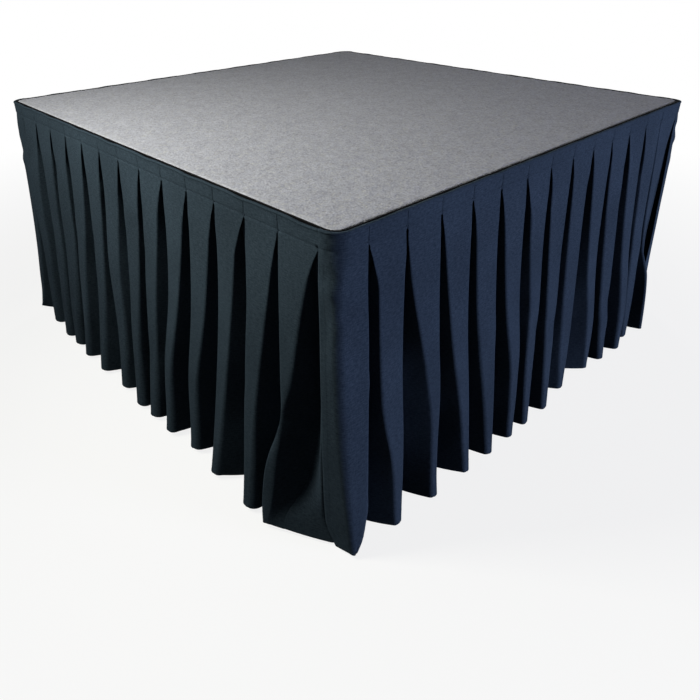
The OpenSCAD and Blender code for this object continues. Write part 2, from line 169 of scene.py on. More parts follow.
def wire(tree, sockets, **values):
    """Joins values to the sockets of those names, with _ for a space."""
    for key, value in values.items():
        join(tree, value, sockets[key.replace("_", " ")])


def place_node(tree, kind, settings=None, *values, **inputs):
    """New shader node with its settings, values for its first inputs and inputs by name."""
    made = tree.nodes.new("ShaderNode" + kind)
    for key, value in (settings or {}).items():
        setattr(made, key, value)
    for socket, value in zip(made.inputs, values):
        join(tree, value, socket)
    wire(tree, made.inputs, **inputs)
    return made


def math_node(tree, operation, first, second=0.0, clamp=False):
    settings = {"operation": operation, "use_clamp": clamp}
    return place_node(tree, "Math", settings, first, second).outputs[0]


def times(tree, first, second, clamp=False):
    return math_node(tree, "MULTIPLY", first, second, clamp)


def mix_colour(tree, share, first, second, blend="MIX"):
    made = place_node(tree, "Mix", {"data_type": "RGBA", "blend_type": blend})
    join(tree, share, made.inputs[0])
    join(tree, first, made.inputs[6])
    join(tree, second, made.inputs[7])
    return made.outputs[2]


def shaded(tree, colour, shade):
    """Colour times a number."""
    tint = place_node(tree, "CombineColor", Red=shade, Green=shade, Blue=shade).outputs[0]
    return mix_colour(tree, 1.0, colour, tint, "MULTIPLY")


def span(tree, value, low, high, start=0.0, end=1.0):
    """Value mapped from low..high to start..end, held at the ends."""
    return place_node(tree, "MapRange", None, value, low, high, start, end).outputs[0]


def noise(tree, place, scale, detail=3.0, roughness=0.55):
    settings = {"Vector": place, "Scale": scale, "Detail": detail, "Roughness": roughness}
    return place_node(tree, "TexNoise", **settings).outputs["Fac"]


def stretched(tree, place, scale):
    return place_node(tree, "Mapping", Vector=place, Scale=scale).outputs[0]


def object_place(tree):
    return place_node(tree, "TexCoord").outputs["Object"]


def parts_of(tree, vector):
    return place_node(tree, "SeparateXYZ", Vector=vector).outputs


def new_group(name, inputs, outputs):
    """Shader node group with float sockets, and a vector for a place."""
    tree = bpy.data.node_groups.new(name, "ShaderNodeTree")
    for way, labels in (("INPUT", inputs), ("OUTPUT", outputs)):
        for label in labels:
            kind = "NodeSocketVector" if label == "Place" else "NodeSocketFloat"
            tree.interface.new_socket(label, in_out=way, socket_type=kind)
    return tree, tree.nodes.new("NodeGroupInput").outputs, tree.nodes.new("NodeGroupOutput").inputs


def use_group(tree, name, **inputs):
    return place_node(tree, "Group", {"node_tree": bpy.data.node_groups[name]}, **inputs).outputs


def weave_group():
    """Plain weave from a cloth map in metres: thread height, thread shade and slubs."""
    tree, given, out = new_group("cloth_weave", ("Place", "Threads"), ("Height", "Shade", "Slub"))
    parts = parts_of(tree, given["Place"])
    turn = times(tree, given["Threads"], math.pi)
    warp = math_node(tree, "SINE", times(tree, parts[0], turn))
    weft = math_node(tree, "SINE", times(tree, parts[1], turn))
    over = times(tree, warp, weft)
    streak = noise(tree, stretched(tree, given["Place"], (110.0, 480.0, 1.0)), 1.0, 3.0)
    grain = noise(tree, stretched(tree, given["Place"], (460.0, 120.0, 1.0)), 1.0, 2.0)
    slub = math_node(tree, "ADD", times(tree, streak, 0.65), times(tree, grain, 0.35))
    shade = math_node(tree, "ADD", times(tree, over, 0.5), 0.5)
    wire(tree, out, Height=math_node(tree, "ABSOLUTE", over), Shade=shade, Slub=slub)


def edge_group():
    """Mask of edges that are worn and carry a painted highlight, from the turn of the normal over a small
    radius.
    """
    tree, given, out = new_group("worn_and_lit_edges", ("Radius", "Breakup"), ("Mask",))
    soft = place_node(tree, "Bevel", {"samples": 4}, Radius=given["Radius"]).outputs[0]
    hard = place_node(tree, "NewGeometry").outputs["Normal"]
    dot = place_node(tree, "VectorMath", {"operation": "DOT_PRODUCT"}, soft, hard).outputs["Value"]
    edge = span(tree, dot, 0.99, 0.80)
    rough = span(tree, noise(tree, object_place(tree), given["Breakup"], 4.0), 0.42, 0.62)
    wire(tree, out, Mask=times(tree, edge, rough, True))


def mottle_group():
    """Slow change and fine grain over a surface, from its place in space, and dust on what faces up."""
    tree, given, out = new_group("mottle", ("Patch", "Grain"), ("Patches", "Grains", "Dust"))
    place = object_place(tree)
    patches = noise(tree, place, given["Patch"], 5.0, 0.6)
    upward = parts_of(tree, place_node(tree, "NewGeometry").outputs["Normal"])[2]
    wire(tree, out, Patches=span(tree, patches, 0.3, 0.7),
         Grains=noise(tree, place, given["Grain"], 2.0),
         Dust=times(tree, span(tree, upward, 0.5, 0.98), patches))


def new_finish(name, rough=0.5, metal=0.0):
    """Material with a plain Principled shader, and its node tree."""
    finish = bpy.data.materials.new(name)
    finish.use_nodes = True
    tree = finish.node_tree
    sockets = tree.nodes["Principled BSDF"].inputs
    wire(tree, sockets, Roughness=rough, Metallic=metal)
    return finish, tree, sockets


def bump(tree, height, distance, strength):
    return place_node(tree, "Bump", Height=height, Distance=distance, Strength=strength).outputs[0]


def cloth_finish(name, base, light, threads=1600.0):
    """Woven cloth: threads, slubs and slow fading."""
    finish, tree, sockets = new_finish(name, 0.88)
    wire(tree, sockets, Specular_IOR_Level=0.02, Sheen_Weight=0.06, Sheen_Roughness=0.45, Sheen_Tint=light)
    place = place_node(tree, "UVMap", {"uv_map": "cloth"}).outputs[0]
    woven = use_group(tree, "cloth_weave", Place=place, Threads=threads)
    marks = use_group(tree, "mottle", Patch=7.0)
    colour = mix_colour(tree, span(tree, woven["Slub"], 0.34, 0.66), base, light)
    fade = span(tree, marks["Patches"], 0.0, 1.0, 0.86, 1.12)
    shade = times(tree, fade, span(tree, woven["Shade"], 0.0, 0.5, 1.0, 1.12))
    height = math_node(tree, "ADD", woven["Height"], times(tree, woven["Slub"], 1.5))
    wire(tree, sockets, Base_Color=shaded(tree, colour, shade), Normal=bump(tree, height, 0.00025, 0.7),
         Roughness=span(tree, woven["Slub"], 0.3, 0.7, 0.82, 0.94))
    return finish


def carpet_finish():
    """Loop-pile carpet: grey loops with pale and dark flecks, and painted shade in the gaps between the
    loops.
    """
    finish, tree, sockets = new_finish("carpet_pile", 0.95)
    wire(tree, sockets, Specular_IOR_Level=0.02, Sheen_Weight=0.06, Sheen_Roughness=0.6)
    place = object_place(tree)
    wobble = noise(tree, place, 260.0, 2.0)
    loops = place_node(tree, "TexVoronoi", Vector=place, Scale=270.0)
    fleck = place_node(tree, "TexVoronoi", Vector=place, Scale=190.0)
    tone = place_node(tree, "SeparateColor", Color=fleck.outputs["Color"]).outputs[0]
    share = span(tree, tone, 0.1, 0.9)
    grey = mix_colour(tree, share, srgb(160, 161, 178), srgb(178, 179, 196))
    dark = span(tree, tone, 0.86, 0.93, 0.0, 0.38)
    colour = mix_colour(tree, dark, grey, srgb(118, 115, 122))
    pale = span(tree, tone, 0.13, 0.07, 0.0, 0.38)
    colour = mix_colour(tree, pale, colour, srgb(200, 199, 203))
    patches = span(tree, noise(tree, place, 26.0, 4.0, 0.65), 0.25, 0.75, 0.90, 1.08)
    # Painted shade: the colour darkens towards the gaps between the loops, where shade falls
    gap = span(tree, loops.outputs["Distance"], 0.35, 0.85, 1.0, 0.78)
    height = math_node(tree, "SUBTRACT", times(tree, wobble, 0.6), loops.outputs["Distance"])
    wire(tree, sockets, Base_Color=shaded(tree, colour, times(tree, patches, gap)),
         Normal=bump(tree, height, 0.0009, 0.7))
    return finish


def plywood_finish():
    """Birch plywood: grain along the sheet, and plies where its edge shows."""
    finish, tree, sockets = new_finish("plywood", 0.62)
    place = object_place(tree)
    grain = noise(tree, stretched(tree, place, (3.0, 70.0, 3.0)), 2.0, 6.0, 0.6)
    pores = noise(tree, stretched(tree, place, (40.0, 900.0, 40.0)), 1.0, 2.0)
    share = span(tree, grain, 0.3, 0.7)
    colour = mix_colour(tree, share, srgb(176, 136, 92), srgb(214, 181, 134))
    colour = mix_colour(tree, span(tree, pores, 0.6, 0.75, 0.0, 0.5), colour, srgb(122, 86, 54))
    ply = math_node(tree, "SINE", times(tree, parts_of(tree, place)[2], math.pi / 0.0021))
    colour = mix_colour(tree, span(tree, ply, -0.2, 0.2, 0.0, 0.35), colour, srgb(128, 90, 56))
    height = math_node(tree, "ADD", grain, pores)
    wire(tree, sockets, Base_Color=colour, Roughness=span(tree, grain, 0.3, 0.7, 0.55, 0.72),
         Normal=bump(tree, height, 0.0004, 0.5))
    return finish


def coated_finish(name, base, worn_and_lit_colour, rough, wear_and_highlight, grain, depth, radius=0.0015, gloss=0.5):
    """Hard coat or moulding: fine grain, slow patches, dust on top, and edges that are partly rubbed wear
    and partly painted highlight.
    """
    finish, tree, sockets = new_finish(name, rough[0])
    marks = use_group(tree, "mottle", Patch=11.0, Grain=grain)
    rubbed_and_lit = use_group(tree, "worn_and_lit_edges", Radius=radius, Breakup=120.0)["Mask"]
    soft = [c * 1.35 for c in base[:3]] + [1.0]
    colour = mix_colour(tree, marks["Patches"], base, soft)
    colour = mix_colour(tree, times(tree, marks["Dust"], 0.03), colour, srgb(140, 140, 142))
    # Lighter edges: partly rubbed wear, partly a painted highlight in place of rounded edges
    colour = mix_colour(tree, times(tree, rubbed_and_lit, wear_and_highlight), colour, worn_and_lit_colour)
    wire(tree, sockets, Base_Color=colour, Roughness=span(tree, marks["Patches"], 0.0, 1.0, *rough),
         Specular_IOR_Level=gloss, Normal=bump(tree, marks["Grains"], depth, 0.6))
    return finish


def plated_finish(name, base, dull, rough=(0.26, 0.46), thread=0.0):
    """Plated steel: brushed lines, cloudy passivation, and a screw thread where a pitch is given."""
    finish, tree, sockets = new_finish(name, rough[0], 1.0)
    marks = use_group(tree, "mottle", Patch=45.0, Grain=1500.0)
    rubbed_and_lit = use_group(tree, "worn_and_lit_edges", Radius=0.001, Breakup=200.0)["Mask"]
    place = object_place(tree)
    lines = noise(tree, stretched(tree, place, (60.0, 60.0, 1500.0)), 1.0, 2.0)
    colour = mix_colour(tree, marks["Patches"], base, dull)
    # Lighter edges: partly rubbed wear, partly a painted highlight in place of rounded edges
    colour = mix_colour(tree, times(tree, rubbed_and_lit, 0.5), colour, srgb(215, 216, 218))
    change = math_node(tree, "ADD", span(tree, marks["Patches"], 0, 1, *rough), times(tree, lines, 0.08))
    height = times(tree, lines, 0.2)
    if thread:
        ridge = math_node(tree, "SINE", times(tree, parts_of(tree, place)[2], 2 * math.pi / thread))
        height = math_node(tree, "ADD", height, ridge)
    wire(tree, sockets, Base_Color=colour, Roughness=change, Normal=bump(tree, height, 0.0004, 0.6))
    return finish


def tape_finish():
    """Loop tape: a dense curled nap."""
    finish, tree, sockets = new_finish("loop_tape_nap", 0.93)
    nap = noise(tree, object_place(tree), 1400.0, 4.0, 0.7)
    wire(tree, sockets, Base_Color=mix_colour(tree, nap, srgb(20, 20, 23), srgb(52, 52, 57)),
         Normal=bump(tree, nap, 0.0007, 0.8))
    return finish


def make_finishes():
    """All finishes by name, on shared node groups."""
    weave_group()
    edge_group()
    mottle_group()
    return {
        "skirt": cloth_finish("skirt_cloth", srgb(33, 43, 54), srgb(53, 64, 76)),
        "thread": cloth_finish("skirt_thread", srgb(24, 31, 42), srgb(52, 62, 76), 2600.0),
        "carpet": carpet_finish(),
        "plywood": plywood_finish(),
        "tape": tape_finish(),
        # The second colour of each coat below is that of its edges, partly wear and partly painted highlight
        "trim": coated_finish("black_trim", srgb(7, 7, 9), srgb(40, 40, 43), rough=(0.62, 0.78),
                              wear_and_highlight=0.15, grain=1300.0, depth=0.00012, radius=0.0010, gloss=0.02),
        "frame": coated_finish("black_powder_coat", srgb(24, 24, 26), srgb(112, 112, 114),
                               rough=(0.36, 0.5), wear_and_highlight=0.45, grain=1100.0, depth=0.0003),
        "plastic": coated_finish("black_moulding", srgb(20, 20, 22), srgb(62, 62, 65),
                                 rough=(0.42, 0.6), wear_and_highlight=0.5, grain=1900.0, depth=0.00018),
        "rubber": coated_finish("foot_rubber", srgb(26, 25, 25), srgb(58, 56, 54),
                                rough=(0.72, 0.88), wear_and_highlight=0.4, grain=1500.0, depth=0.0003),
        "bracket": plated_finish("bracket_steel", srgb(138, 138, 136), srgb(106, 105, 102),
                                 rough=(0.36, 0.55)),
        "zinc": plated_finish("zinc_plate", srgb(196, 198, 202), srgb(164, 165, 166)),
        "screw": plated_finish("zinc_screw", srgb(190, 188, 178), srgb(158, 156, 148)),
        "stem": plated_finish("zinc_thread", srgb(190, 192, 196), srgb(158, 159, 160),
                              thread=0.0015),
    }


# Endings of the names of the rigid nodes that take each finish
FINISH_ENDINGS = {
    "plywood": ("deck_panel",), "tape": ("loop_tape",), "screw": ("_screws",),
    "trim": ("_edge_trim", "trim_corners"), "zinc": ("hinge_bolts", "_braces", "_brace_pins"),
    "frame": ("_rail", "_bearer", "_joist", "_leg", "_stretcher", "_brace_ears"),
    "bracket": ("_hinge_brackets", "_brace_tracks"), "plastic": ("_leg_plugs", "_knob"),
    "stem": ("_stem",), "rubber": ("_pad",),
}


def dress_nodes(finishes):
    """Gives every rigid node its finish."""
    for name, piece in NODES.items():
        for finish, endings in FINISH_ENDINGS.items():
            if name.endswith(endings):
                piece.data.materials.clear()
                piece.data.materials.append(finishes[finish])


# Mesh helpers


def new_piece(name, points, faces, finish):
    mesh = bpy.data.meshes.new(name)
    mesh.from_pydata(points.tolist(), [], faces)
    mesh.materials.append(finish)
    mesh.polygons.foreach_set("use_smooth", [True] * len(mesh.polygons))
    mesh.update()
    return add_object(name, mesh)


def grid_faces(rows, columns):
    """Quads of a grid of points, row by row."""
    starts = [r * columns + c for r in range(rows - 1) for c in range(columns - 1)]
    return [(a, a + columns, a + columns + 1, a + 1) for a in starts]


def thicken(piece, thickness):
    solid = piece.modifiers.new("thickness", "SOLIDIFY")
    solid.thickness = thickness
    solid.offset = 0.0
    solid.use_even_offset = False


def smooth_step(low, high, value):
    t = np.clip((value - low) / (high - low), 0.0, 1.0)
    return t * t * (3 - 2 * t)


# Skirt

# Front and back layer of the sewn pleats off the platform's face, and the cloth's folds and hem
LAYER_FRONT = 0.0062
LAYER_BACK = 0.0024
FOLD_R = 0.00095
FOLD_GAP = 0.00048
RETURN_L = 0.022
HEM_FOLD = 0.024
HEM_LIFT = 0.006
CLOTH_HALF = 0.0004
HALF_L = PITCH / 2 + 2 * RETURN_L + 2 * math.pi * FOLD_R
PANEL_L = PITCH / 2 - FOLD_GAP - FOLD_R
VALLEY_L = HALF_L - PANEL_L - RETURN_L - 2 * math.pi * FOLD_R
HEM_Z = 0.0065
FACE_START = WRAP_L + TURN_L - CORNER_R
EDGE_IN = 0.006


def path_point(u, n):
    """Points of a section's path at lengths u, standing n off the face, in the section's frame."""
    start = WRAP_L + TURN_L
    turn = np.clip((u - WRAP_L) / TURN_L, 0, 1) + np.clip((u - start - STRAIGHT_L) / TURN_L, 0, 1)
    angle = math.pi + turn * math.pi / 2
    out = np.stack([np.cos(angle), np.sin(angle)], -1)
    along = np.clip(u - start, 0, STRAIGHT_L)
    centre = CORNER_R + np.stack([along, np.clip(WRAP_L - u, 0, None)], -1)
    return centre + out * (CORNER_R + np.asarray(n))[..., None]


def eased(steps, values, t):
    """Smooth value at t through given steps, with no overshoot."""
    steps = np.asarray(steps, float)
    values = np.asarray(values, float)
    gap = np.diff(steps).reshape((-1,) + (1,) * (values.ndim - 1))
    rise = np.diff(values, axis=0) / gap
    same = rise[:-1] * rise[1:] > 0
    both = np.where(same, rise[:-1] + rise[1:], 1.0)
    between = np.where(same, 2 * rise[:-1] * rise[1:] / both, 0.0)
    slope = np.concatenate([rise[:1], between, rise[-1:]])
    k = int(np.clip(np.searchsorted(steps, t) - 1, 0, len(steps) - 2))
    h = steps[k + 1] - steps[k]
    s = (t - steps[k]) / h
    start = (1 + 2 * s) * (1 - s) ** 2 * values[k] + s * (1 - s) ** 2 * h * slope[k]
    return start + s * s * (3 - 2 * s) * values[k + 1] + s * s * (s - 1) * h * slope[k + 1]


# Shares of each stretch of half a pleat that get a point
PANEL_AT = np.array([0, 0.2, 0.4, 0.58, 0.74, 0.87, 0.95])
TURN_AT = np.linspace(0, 1, 8)
WALL_AT = np.array([0.1, 0.3, 0.5, 0.7, 0.9])
VALLEY_AT = np.array([0.25, 0.6, 1.0])


def half_profile(panel, valley, front_r, back_r, chord):
    """Half a pleat of panel, wall and valley: cloth lengths, distance from the crest and depth."""
    both = front_r + back_r
    low, high = 0.05, math.pi
    for _ in range(40):
        angle = (low + high) / 2
        wall = HALF_L - panel - valley - both * angle
        if panel + valley + both * math.sin(angle) + wall * math.cos(angle) > chord:
            low = angle
        else:
            high = angle
    c, s = math.cos(angle), math.sin(angle)
    turn = TURN_AT * angle
    back = angle - turn
    flat = (panel, panel, 0)
    front = np.transpose([flat]) + front_r * np.array([turn, np.sin(turn), 1 - np.cos(turn)])
    fall = (wall, wall * c, wall * s)
    lower = back_r * np.array([turn, s - np.sin(back), np.cos(back) - c])
    lower += front[:, -1:] + np.transpose([fall])
    return np.concatenate([
        np.outer(flat, PANEL_AT), front, front[:, -1:] + np.outer(fall, WALL_AT),
        lower, lower[:, -1:] + np.outer((valley, valley, 0), VALLEY_AT)], 1)


def bent_line(points, radii, steps):
    """Points along a line with rounded corners, always as many for each stretch and corner."""
    points = np.asarray(points, float)
    line = [points[:1]]
    last = points[0]
    for k in range(1, len(points) - 1):
        corner = points[k]
        legs = []
        for other, end in ((points[k - 1], k == 1), (points[k + 1], k == len(points) - 2)):
            far = np.linalg.norm(other - corner)
            legs.append((other - corner) / far * min(radii[k - 1], far * (0.95 if end else 0.48)))
        cosine = np.dot(legs[0], legs[1]) / np.linalg.norm(legs[0]) / np.linalg.norm(legs[1])
        weight = max(0.25, math.sqrt(max(0.0, (1 - cosine) / 2)))
        first = corner + legs[0]
        share = np.linspace(0, 1, steps[k - 1] + 2)[1:, None]
        line.append(last + (first - last) * share)
        t = np.linspace(0, 1, 8)[1:, None]
        bell = np.concatenate([(1 - t) ** 2, 2 * t * (1 - t) * weight, t * t], 1)
        arc = bell[:, :1] * first + bell[:, 1:2] * corner + bell[:, 2:] * (corner + legs[1])
        line.append(arc / bell.sum(1, keepdims=True))
        last = line[-1][-1]
    share = np.linspace(0, 1, steps[-1] + 2)[1:, None]
    line.append(last + (points[-1] - last) * share)
    return np.concatenate(line)


# Corner pleat by drop, in millimetres from the corner: free edge, crest, right fold, back fold, valley
CORNER_STEPS = (0.0, 0.03, 0.064, 0.12, 0.25, 0.45, 0.65, 0.80, 0.92, 0.97, 1.0)
CORNER_PARTS = {
    "edge": ((-6.2, 30), (-6.4, 30), (-6.8, 30), (-8, 29), (-11, 25), (-15, 20), (-18, 16), (-18, 14),
             (-17.5, 10.5), (-17, 0), (-18.5, -17)),
    "crest": ((-6.2, -6.2), (-6.4, -6.6), (-6.6, -7), (-7, -8), (-8, -11), (-9.5, -18), (-10.5, -28),
              (-11.5, -38), (-12, -48), (-12, -52), (-12, -55)),
    "fold": ((60.4, -6.2), (60.2, -7), (59.8, -8), (59.2, -9.5), (57, -16), (50, -26), (42, -36), (34, -45),
             (22, -52), (11, -55.5), (-2, -57)),
    "fold_2": ((60.4, -4.3), (58.5, -4.8), (57.5, -5), (57, -4), (57, -8), (52, -17), (45, -27), (38, -36),
               (27, -44), (18, -47), (7, -49)),
    "back": ((38.3, -4.3), (44, -3), (50, 0), (54, 9), (59, 10), (58, 8), (55, 2), (51, -6), (47, -11),
             (45, -13), (43, -14)),
    "back_2": ((38.3, -2.4), (44.5, -1.2), (51, 1.2), (57, 12), (60, 15), (60, 14), (57, 8), (54, 1),
               (50, -5), (48.5, -7), (47, -8)),
    "valley": ((61, -2.4), (61, -1.2), (61, 1.6), (61.5, 13), (63, 18), (62, 17), (60, 11), (57, 4),
               (54, -1), (53, -3), (52, -4)),
}
CORNER_RADII = ((0.0, 0.06, 0.15, 0.45, 1.0),
                ((31.2, 1, 1, 1, 1), (19, 2, 2, 2, 2), (14, 3, 3, 3, 3), (14, 5, 4, 4, 3), (8, 6, 4, 5, 4)))
CORNER_COUNTS = (10, 14, 0, 4, 0, 3)

# Last pleat by drop, in millimetres from the next corner and off the face: valley, folds, pocket and flap
LAST_STEPS = (0.0, 0.03, 0.064, 0.12, 0.25, 0.45, 0.60, 0.66, 0.72, 0.80, 0.87, 0.92, 0.96, 1.0)
LAST_PARTS = {
    "valley": ((122.3, 2.4), (122.3, 1.2), (122.3, -1.6), (122, -13), (122, -18), (123, -19), (125, -17),
               (127, -14), (129, -10), (132, -6), (134, -5), (136, -5), (137, -5), (138, -5)),
    "left": ((121.6, 6.2), (121.6, 7), (121.6, 8.2), (121, 11), (119, 16), (115, 24), (109, 34), (110, 47),
             (114, 61), (118, 71), (119.5, 76), (120, 79), (119, 81), (117, 83)),
    "right": ((30.5, 6.2), (38, 7), (45.5, 8), (55, 10), (70, 14), (88, 21), (104, 31), (101, 44), (97, 55),
              (97, 63), (98, 69), (100, 73), (103, 76), (106, 79)),
    "back": ((58.7, 4.3), (54, 2.8), (52, -0.5), (53, -10), (63, -10), (76, -6), (88, 4), (89, 14),
             (87, 22), (86, 32), (86, 44), (89, 56), (92, 66), (92, 71)),
    "pocket": ((36, 2.4), (38, 1.2), (41, -1.6), (45, -13), (58, -34), (64, -38), (66, -36), (64, -32),
               (62, -24), (62, -8), (66, 12), (72, 36), (76, 54), (72, 60)),
    "behind": ((26, 2.4), (28, 1.2), (30, 0), (33, 0), (33, 1), (33, 3), (32, 7), (30, 11), (27, 14),
               (23, 16.5), (21, 17), (19, 17), (8, 17), (-6, 18)),
    "end": ((18, 2.2), (18, 2.2), (18, 2), (18, 2), (18, 1), (16, 0), (15, -1), (13, -1), (12, 0), (10, 0),
            (8, 0), (6, 0), (-3, 2), (-17, 4)),
}
LAST_COUNTS = (3, 0, 4, 0, 10, 0, 4, 0, 5, 3, 3)


def corner_row(t):
    """Corner pleat at drop share t, from its free side edge to the first valley."""
    points = [eased(CORNER_STEPS, part, t) for part in CORNER_PARTS.values()]
    radii = eased(*CORNER_RADII, t)
    return bent_line(points, radii, CORNER_COUNTS) / 1000


def last_row(t):
    """Last pleat at drop share t, from its left valley to the flap behind the next section."""
    places = [eased(LAST_STEPS, part, t) for part in LAST_PARTS.values()]
    valley, left, right, back, pocket, behind, end = places
    sewn = 1 - smooth_step(0.0, 0.09, t)

    def folded(start, shift, goal, share):
        """Point that is sewn at a shift from the start, and hangs at a share of the way to the goal."""
        return sewn * (start + shift) + (1 - sewn) * (start + (goal - start) * share)

    left_2 = folded(left, (0, -1.9), valley, 0.2)
    back_1 = folded(left, (-22, -1.9), valley, 0.7)
    back_2 = folded(left, (-22, -3.8), valley, 0.88)
    right_2 = folded(right, (0, -1.9), back, 0.3)
    pocket_2 = folded(back, (0, -1.9), pocket, 0.6)
    points = [valley, back_2, back_1, left_2, left, right, right_2, back, pocket_2, pocket, behind, end]
    radius = float(np.interp(t, [0, 0.12, 0.45, 1.0], [1.0, 3.0, 5.0, 6.0]))
    loose = float(np.interp(t, [0, 0.12, 0.45, 0.8, 1.0], [1.0, 6.0, 9.0, 16.0, 20.0]))
    radii = (radius, radius, radius, radius, loose, radius, loose, loose, loose, 4.0)
    line = bent_line(points, radii, LAST_COUNTS) / 1000
    return np.stack([SIDE - line[:, 0], -line[:, 1]], -1)


# Lean and reach of the hem's crests by pleat, in millimetres, on the two faces that the photograph shows
FRONT_CRESTS = {1: (-2, 62), 2: (10, 68), 3: (25, 72), 4: (16, 74), 5: (8, 74), 6: (-14, 74), 7: (-22, 76)}
LEFT_CRESTS = {12: (0, 82), 11: (-32, 78), 10: (-38, 66), 9: (-38, 76), 8: (-22, 76), 7: (4, 78), 6: (0, 70),
               5: (-16, 76)}

# How far the near and far halves of a pleat open, at these shares of the drop
OPEN_STEPS = (0, 0.06, 0.15, 0.5, 0.8, 1)
OPEN_NEAR = (0.30, 0.52, 0.72, 0.84, 0.94)
OPEN_FAR = (0.04, 0.13, 0.38, 0.66, 0.92)
FRONT_OPEN = {1: (0.29, 0.56, 0.47, 0.92, 0.97), 2: (0.13, 0.28, 0.94, 0.98, 0.98),
              3: (0.22, 0.38, 0.66, 0.92, 0.97), 4: (0.28, 0.46, 0.64, 0.88, 0.96),
              5: (0.26, 0.46, 0.70, 0.90, 0.96), 6: (0.32, 0.62, 0.80, 0.88, 0.95)}
LEFT_OPEN = {12: (0.24, 0.48, 0.90, 0.96, 0.97), 11: (0.42, 0.77, 0.94, 0.96, 0.97),
             10: (0.30, 0.52, 0.80, 0.92, 0.96), 9: (0.32, 0.58, 0.90, 0.94, 0.96),
             8: (0.32, 0.62, 0.92, 0.95, 0.97), 7: (0.30, 0.52, 0.80, 0.92, 0.96)}
FRONT_FAR = {2: (0.03, 0.08, 0.35, 0.88, 0.95), 3: (0.04, 0.11, 0.40, 0.68, 0.93)}
LEFT_FAR = {12: (0.05, 0.15, 0.46, 0.80, 0.94), 11: (0.05, 0.15, 0.42, 0.74, 0.94),
            10: (0.05, 0.16, 0.50, 0.80, 0.94), 9: (0.05, 0.16, 0.46, 0.78, 0.94),
            8: (0.05, 0.15, 0.42, 0.74, 0.94), 7: (0.05, 0.16, 0.46, 0.76, 0.94)}

# How far a crest sways to its far side in the middle of the drop, in millimetres
FRONT_SWAY = {1: 0, 2: 16, 3: 9, 4: 6, 5: 6}
LEFT_SWAY = {12: 11, 11: 8, 10: 10, 9: 9, 8: 7, 7: 8}

SHOWN_PLEATS = {0: (FRONT_CRESTS, FRONT_OPEN, FRONT_FAR, FRONT_SWAY),
                3: (LEFT_CRESTS, LEFT_OPEN, LEFT_FAR, LEFT_SWAY)}


def plan_pleats(index, rng):
    """Crests and valleys of a section's regular pleats, with how each half opens."""
    given, open_near, open_far, far_sway = SHOWN_PLEATS.get(index, ({}, {}, {}, {}))
    near = -1 if index < 2 else 1
    crests = []
    for k in range(1, PLEATS - 1):
        lean, reach = given.get(k, (rng.uniform(-22, 22), rng.uniform(60, 78)))
        opening = {}
        for side in (-1, 1):
            base = np.array(open_near.get(k, OPEN_NEAR) if side == near else open_far.get(k, OPEN_FAR))
            change = rng.uniform(-0.08, 0.08, 5) * (0.4, 1, 1.2, 1, 0.4)
            wide = base if k in open_near else np.maximum.accumulate(base + change)
            opening[side] = np.concatenate([[0], np.clip(wide, 0, 0.98)])
        crest = {
            "middle": (k + 0.5) * PITCH, "lean": lean / 1000, "reach": reach / 1000, "opening": opening,
            "power": rng.uniform(1.1, 1.4), "tilt": rng.uniform(-0.10, 0.10), "late": rng.uniform(1.3, 1.9),
            "sway": (rng.uniform(0.35, 0.8), rng.uniform(-0.007, 0.007) - near * 0.004,
                     rng.uniform(-0.006, 0.006)),
            "round": 0.016 if index == 3 else 0.009,
        }
        if k in far_sway:
            crest["sway"] = (0.70, -near * far_sway[k] / 1000, crest["sway"][2])
        crests.append(crest)
    shifts = [rng.uniform(-0.006, 0.006) for _ in range(PLEATS)]
    return crests, shifts


def crest_at(crest, t):
    at, aside, outward = crest["sway"]
    bell = math.exp(-(((t - at) / 0.20) ** 2)) * smooth_step(0.0, 0.2, t)
    along = crest["middle"] + crest["lean"] * t ** crest["late"] + aside * bell
    return along, LAYER_FRONT + (crest["reach"] - LAYER_FRONT) * t ** crest["power"] + outward * bell


def pleat_row(t, crests, shifts, first, last):
    """Regular pleats at drop share t between two given valleys: points and cloth lengths."""
    places = [crest_at(crest, t) for crest in crests]
    valley_u = [first[0]]
    for k in range(len(crests) - 1):
        sewn = crests[k]["middle"] + PITCH / 2
        hung = (places[k][0] + places[k + 1][0]) / 2 + shifts[k]
        valley_u.append(sewn + (hung - sewn) * t ** 0.8)
    valley_u.append(last[0])
    back_r = eased([0, 0.12, 0.5, 1], [FOLD_R, 0.003, 0.005, 0.006], t)
    valley = eased([0, 0.12, 0.5, 1], [VALLEY_L, 0.013, 0.007, 0.004], t)
    halves = []
    for k, crest in enumerate(crests):
        for end, side in enumerate((-1, 1)):
            opening = eased(OPEN_STEPS, crest["opening"][side], t)
            chord = abs(valley_u[k + end] - places[k][0])
            room = min(PANEL_L * (1 - opening), chord - 0.004) if t > 0 else PANEL_L
            front_r = eased([0, 0.12, 0.5, 1], [FOLD_R, 0.0035, 0.0065, crest["round"]], t)
            halves.append(half_profile(max(room, 0.003), valley, front_r, back_r, chord))
    floor_n = eased([0, 0.033, 0.079, 0.135, 1], [LAYER_BACK, 0.001, -0.003, -0.022, -0.022], t)
    valley_n = [first[1]]
    for k in range(len(crests) - 1):
        deep = [places[k][1] - halves[2 * k + 1][2][-1], places[k + 1][1] - halves[2 * k + 2][2][-1]]
        valley_n.append(max(floor_n, sum(deep) / 2))
    valley_n.append(last[1])
    points, lengths = [], []
    reach = 0.0
    for k, crest in enumerate(crests):
        for end, side in enumerate((-1, 1)):
            q, x, d = halves[2 * k + end]
            drop = places[k][1] - valley_n[k + end]
            lift = crest["tilt"] * smooth_step(0.05, 0.5, t) * side * x * (1 - d / d[-1])
            line = np.stack([places[k][0] + side * x, places[k][1] - d * drop / d[-1] + lift], -1)
            length = q if side == 1 else HALF_L - q
            points.append(line[::side][1:])
            lengths.append(reach + length[::side][1:])
            reach += HALF_L
    points = np.concatenate(points)
    return path_point(points[:, 0], points[:, 1]), np.concatenate(lengths)


